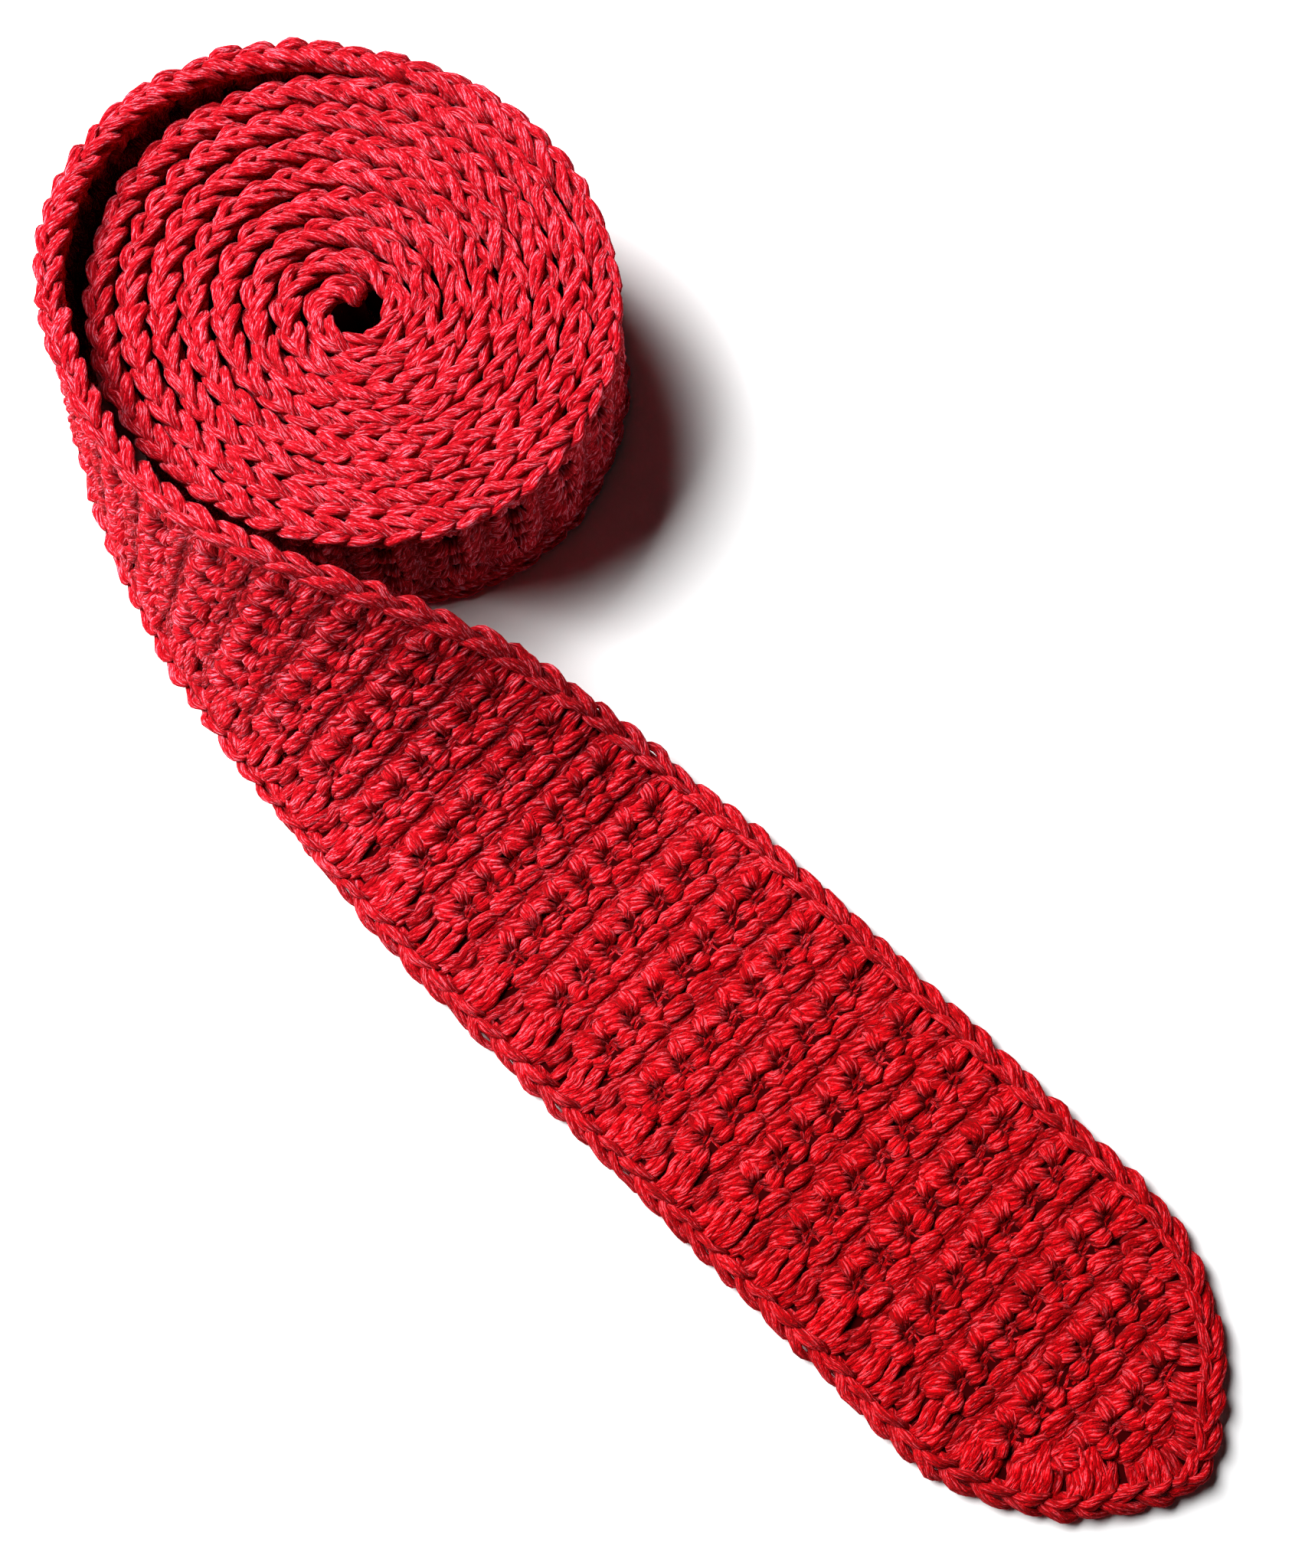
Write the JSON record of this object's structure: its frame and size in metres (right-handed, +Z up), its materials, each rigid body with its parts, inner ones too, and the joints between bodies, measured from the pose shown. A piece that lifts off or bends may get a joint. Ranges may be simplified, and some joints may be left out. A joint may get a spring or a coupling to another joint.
{
  "type": "rolled crocheted necktie",
  "caption": "Crocheted cotton necktie rolled on its edge from the narrow end, with the wide blade leaning over to lie flat and curl up.",
  "frame": {"origin": "centre of the whole tie's footprint, on the flat surface that it rests on", "axes": "+Z up, away from the surface; the blade points towards +X and -Y, and the roll is towards -X and +Y"},
  "size_m": [0.1609, 0.1974, 0.0375],
  "materials": {
    "panel_yarn": "matte multi-strand cotton yarn, crocheted in ridged rows",
    "edging_yarn": "matte multi-strand cotton yarn, crocheted as a chain-topped border"
  },
  "bodies": {
    "roll": {"blade_base_left_edging": "edging_yarn", "blade_base_panel": "panel_yarn", "blade_base_right_edging": "edging_yarn", "loose_turn_lower_edging": "edging_yarn", "loose_turn_panel": "panel_yarn", "loose_turn_upper_edging": "edging_yarn", "roll_turn_1_lower_edging": "edging_yarn", "roll_turn_1_panel": "panel_yarn", "roll_turn_1_upper_edging": "edging_yarn", "roll_turn_2_lower_edging": "edging_yarn", "roll_turn_2_panel": "panel_yarn", "roll_turn_2_upper_edging": "edging_yarn", "roll_turn_3_lower_edging": "edging_yarn", "roll_turn_3_panel": "panel_yarn", "roll_turn_3_upper_edging": "edging_yarn", "roll_turn_4_lower_edging": "edging_yarn", "roll_turn_4_panel": "panel_yarn", "roll_turn_4_upper_edging": "edging_yarn", "roll_turn_5_lower_edging": "edging_yarn", "roll_turn_5_panel": "panel_yarn", "roll_turn_5_upper_edging": "edging_yarn", "roll_turn_6_lower_edging": "edging_yarn", "roll_turn_6_panel": "panel_yarn", "roll_turn_6_upper_edging": "edging_yarn", "roll_turn_7_lower_edging": "edging_yarn", "roll_turn_7_panel": "panel_yarn", "roll_turn_7_upper_edging": "edging_yarn", "roll_turn_8_lower_edging": "edging_yarn", "roll_turn_8_panel": "panel_yarn", "roll_turn_8_upper_edging": "edging_yarn", "twist_left_edging": "edging_yarn", "twist_panel": "panel_yarn", "twist_right_edging": "edging_yarn"},
    "blade_1": {"blade_1_left_edging": "edging_yarn", "blade_1_panel": "panel_yarn", "blade_1_right_edging": "edging_yarn"},
    "blade_2": {"blade_2_left_edging": "edging_yarn", "blade_2_panel": "panel_yarn", "blade_2_right_edging": "edging_yarn"},
    "blade_3": {"blade_3_left_edging": "edging_yarn", "blade_3_panel": "panel_yarn", "blade_3_right_edging": "edging_yarn"},
    "tip": {"tip_left_edging": "edging_yarn", "tip_panel": "panel_yarn", "tip_right_edging": "edging_yarn"}
  },
  "joints": [
    {"name": "blade_curl_1", "type": "hinge", "parent": "roll", "child": "blade_1", "pos_m": [0.00504, -0.02569, 0.00187], "axis": [-0.6909, -0.723, 0], "range_deg": [0, 40]},
    {"name": "blade_curl_2", "type": "hinge", "parent": "blade_1", "child": "blade_2", "pos_m": [0.02477, -0.04455, 0.00187], "axis": [-0.6909, -0.723, 0], "range_deg": [0, 40]},
    {"name": "blade_curl_3", "type": "hinge", "parent": "blade_2", "child": "blade_3", "pos_m": [0.04451, -0.06341, 0.00187], "axis": [-0.6909, -0.723, 0], "range_deg": [0, 40]},
    {"name": "blade_curl_4", "type": "hinge", "parent": "blade_3", "child": "tip", "pos_m": [0.06425, -0.08228, 0.00187], "axis": [-0.6909, -0.723, 0], "range_deg": [0, 40]}
  ]
}
